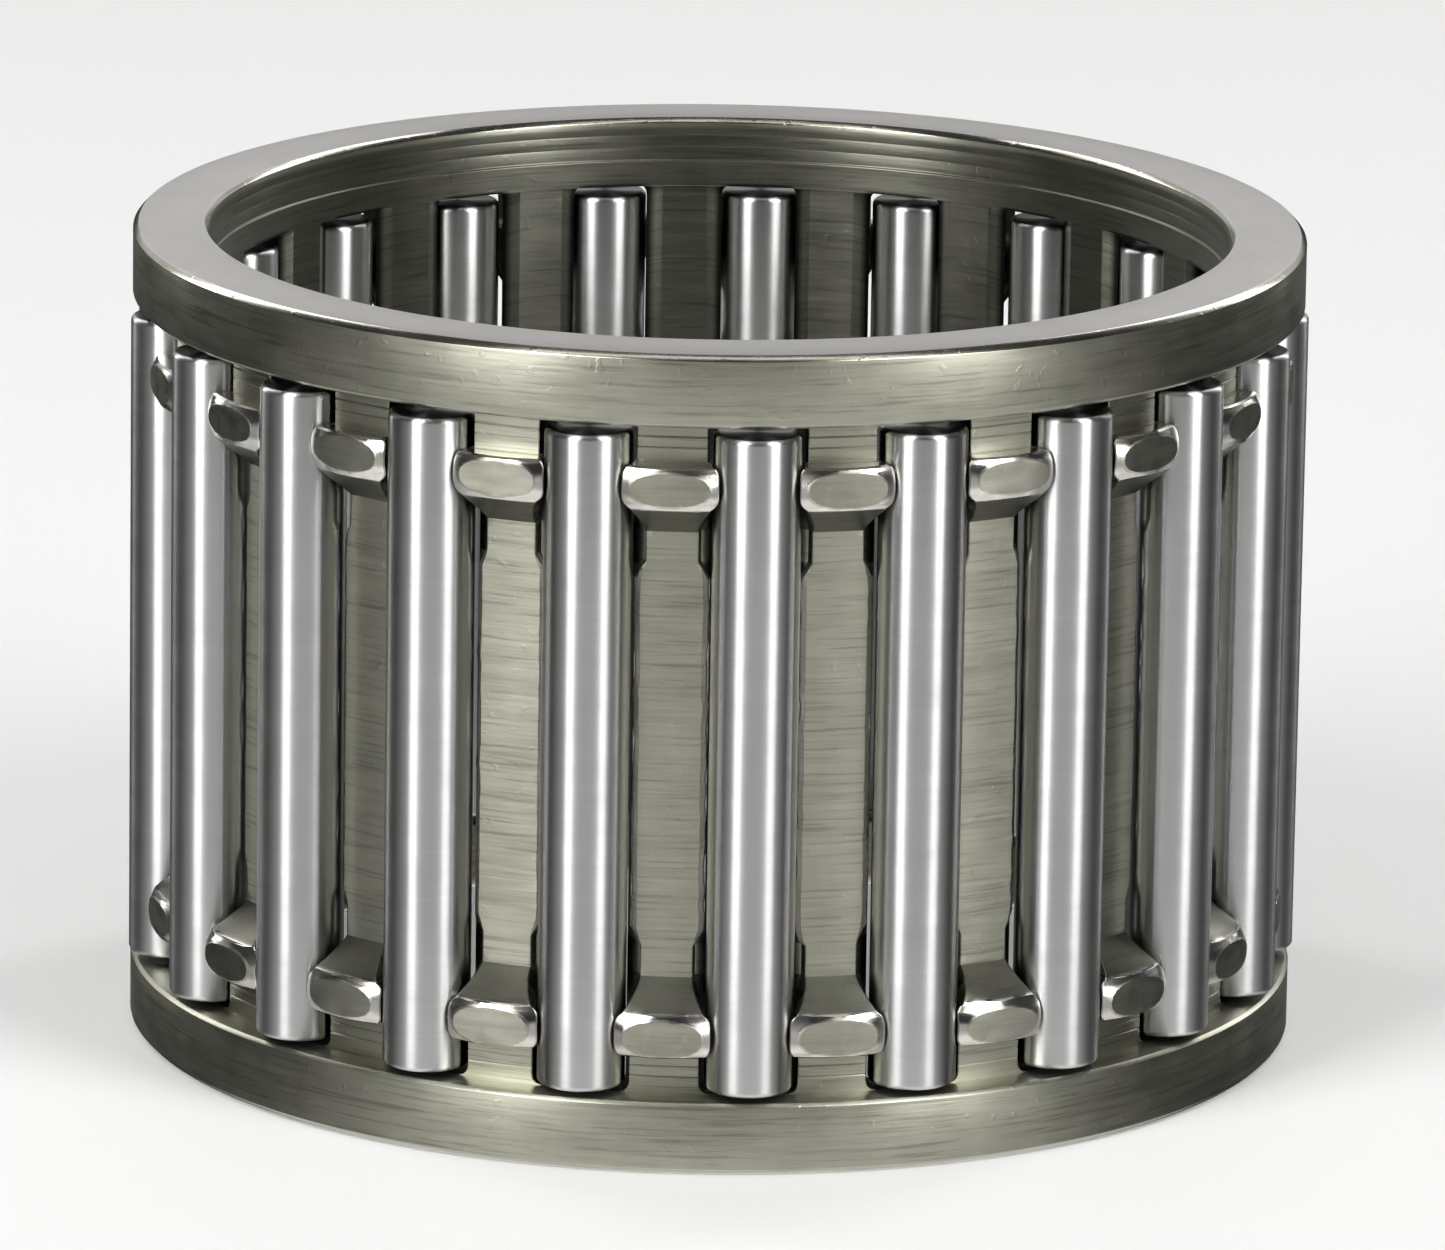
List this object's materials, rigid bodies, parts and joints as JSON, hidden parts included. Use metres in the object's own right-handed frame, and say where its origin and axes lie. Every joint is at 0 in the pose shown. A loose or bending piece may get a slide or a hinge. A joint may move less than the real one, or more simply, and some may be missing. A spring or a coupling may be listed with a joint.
{
  "type": "needle roller bearing",
  "caption": "Needle roller and cage assembly: a machined steel cage holding steel needle rollers, each free to spin in its own pocket; runs directly on a shaft and in a housing bore.",
  "frame": {"origin": "centre of the bearing's lower end face, on the bearing axis", "axes": "+Z along the bearing axis; roller_01 lies on the -Y side"},
  "size_m": [0.0548, 0.0548, 0.038],
  "materials": {
    "cage_steel": "turned and lightly tumbled bare steel, satin",
    "needle_steel": "finely ground bare bearing steel, semi-bright"
  },
  "bodies": {
    "cage": {"cage": "cage_steel"},
    "roller_01": {"roller_01": "needle_steel"},
    "roller_02": {"roller_02": "needle_steel"},
    "roller_03": {"roller_03": "needle_steel"},
    "roller_04": {"roller_04": "needle_steel"},
    "roller_05": {"roller_05": "needle_steel"},
    "roller_06": {"roller_06": "needle_steel"},
    "roller_07": {"roller_07": "needle_steel"},
    "roller_08": {"roller_08": "needle_steel"},
    "roller_09": {"roller_09": "needle_steel"},
    "roller_10": {"roller_10": "needle_steel"},
    "roller_11": {"roller_11": "needle_steel"},
    "roller_12": {"roller_12": "needle_steel"},
    "roller_13": {"roller_13": "needle_steel"},
    "roller_14": {"roller_14": "needle_steel"},
    "roller_15": {"roller_15": "needle_steel"},
    "roller_16": {"roller_16": "needle_steel"},
    "roller_17": {"roller_17": "needle_steel"},
    "roller_18": {"roller_18": "needle_steel"},
    "roller_19": {"roller_19": "needle_steel"},
    "roller_20": {"roller_20": "needle_steel"},
    "roller_21": {"roller_21": "needle_steel"}
  },
  "joints": [
    {"name": "roller_01_spin", "type": "hinge", "parent": "cage", "child": "roller_01", "pos_m": [0, -0.0255, 0.0189], "axis": [0, 0, 1], "continuous": true},
    {"name": "roller_02_spin", "type": "hinge", "parent": "cage", "child": "roller_02", "pos_m": [0.00752, -0.02437, 0.0189], "axis": [0, 0, 1], "continuous": true},
    {"name": "roller_03_spin", "type": "hinge", "parent": "cage", "child": "roller_03", "pos_m": [0.01436, -0.02107, 0.0189], "axis": [0, 0, 1], "continuous": true},
    {"name": "roller_04_spin", "type": "hinge", "parent": "cage", "child": "roller_04", "pos_m": [0.01994, -0.0159, 0.0189], "axis": [0, 0, 1], "continuous": true},
    {"name": "roller_05_spin", "type": "hinge", "parent": "cage", "child": "roller_05", "pos_m": [0.02374, -0.00932, 0.0189], "axis": [0, 0, 1], "continuous": true},
    {"name": "roller_06_spin", "type": "hinge", "parent": "cage", "child": "roller_06", "pos_m": [0.02543, -0.00191, 0.0189], "axis": [0, 0, 1], "continuous": true},
    {"name": "roller_07_spin", "type": "hinge", "parent": "cage", "child": "roller_07", "pos_m": [0.02486, 0.00567, 0.0189], "axis": [0, 0, 1], "continuous": true},
    {"name": "roller_08_spin", "type": "hinge", "parent": "cage", "child": "roller_08", "pos_m": [0.02208, 0.01275, 0.0189], "axis": [0, 0, 1], "continuous": true},
    {"name": "roller_09_spin", "type": "hinge", "parent": "cage", "child": "roller_09", "pos_m": [0.01734, 0.01869, 0.0189], "axis": [0, 0, 1], "continuous": true},
    {"name": "roller_10_spin", "type": "hinge", "parent": "cage", "child": "roller_10", "pos_m": [0.01106, 0.02297, 0.0189], "axis": [0, 0, 1], "continuous": true},
    {"name": "roller_11_spin", "type": "hinge", "parent": "cage", "child": "roller_11", "pos_m": [0.0038, 0.02522, 0.0189], "axis": [0, 0, 1], "continuous": true},
    {"name": "roller_12_spin", "type": "hinge", "parent": "cage", "child": "roller_12", "pos_m": [-0.0038, 0.02522, 0.0189], "axis": [0, 0, 1], "continuous": true},
    {"name": "roller_13_spin", "type": "hinge", "parent": "cage", "child": "roller_13", "pos_m": [-0.01106, 0.02297, 0.0189], "axis": [0, 0, 1], "continuous": true},
    {"name": "roller_14_spin", "type": "hinge", "parent": "cage", "child": "roller_14", "pos_m": [-0.01734, 0.01869, 0.0189], "axis": [0, 0, 1], "continuous": true},
    {"name": "roller_15_spin", "type": "hinge", "parent": "cage", "child": "roller_15", "pos_m": [-0.02208, 0.01275, 0.0189], "axis": [0, 0, 1], "continuous": true},
    {"name": "roller_16_spin", "type": "hinge", "parent": "cage", "child": "roller_16", "pos_m": [-0.02486, 0.00567, 0.0189], "axis": [0, 0, 1], "continuous": true},
    {"name": "roller_17_spin", "type": "hinge", "parent": "cage", "child": "roller_17", "pos_m": [-0.02543, -0.00191, 0.0189], "axis": [0, 0, 1], "continuous": true},
    {"name": "roller_18_spin", "type": "hinge", "parent": "cage", "child": "roller_18", "pos_m": [-0.02374, -0.00932, 0.0189], "axis": [0, 0, 1], "continuous": true},
    {"name": "roller_19_spin", "type": "hinge", "parent": "cage", "child": "roller_19", "pos_m": [-0.01994, -0.0159, 0.0189], "axis": [0, 0, 1], "continuous": true},
    {"name": "roller_20_spin", "type": "hinge", "parent": "cage", "child": "roller_20", "pos_m": [-0.01436, -0.02107, 0.0189], "axis": [0, 0, 1], "continuous": true},
    {"name": "roller_21_spin", "type": "hinge", "parent": "cage", "child": "roller_21", "pos_m": [-0.00752, -0.02437, 0.0189], "axis": [0, 0, 1], "continuous": true}
  ]
}
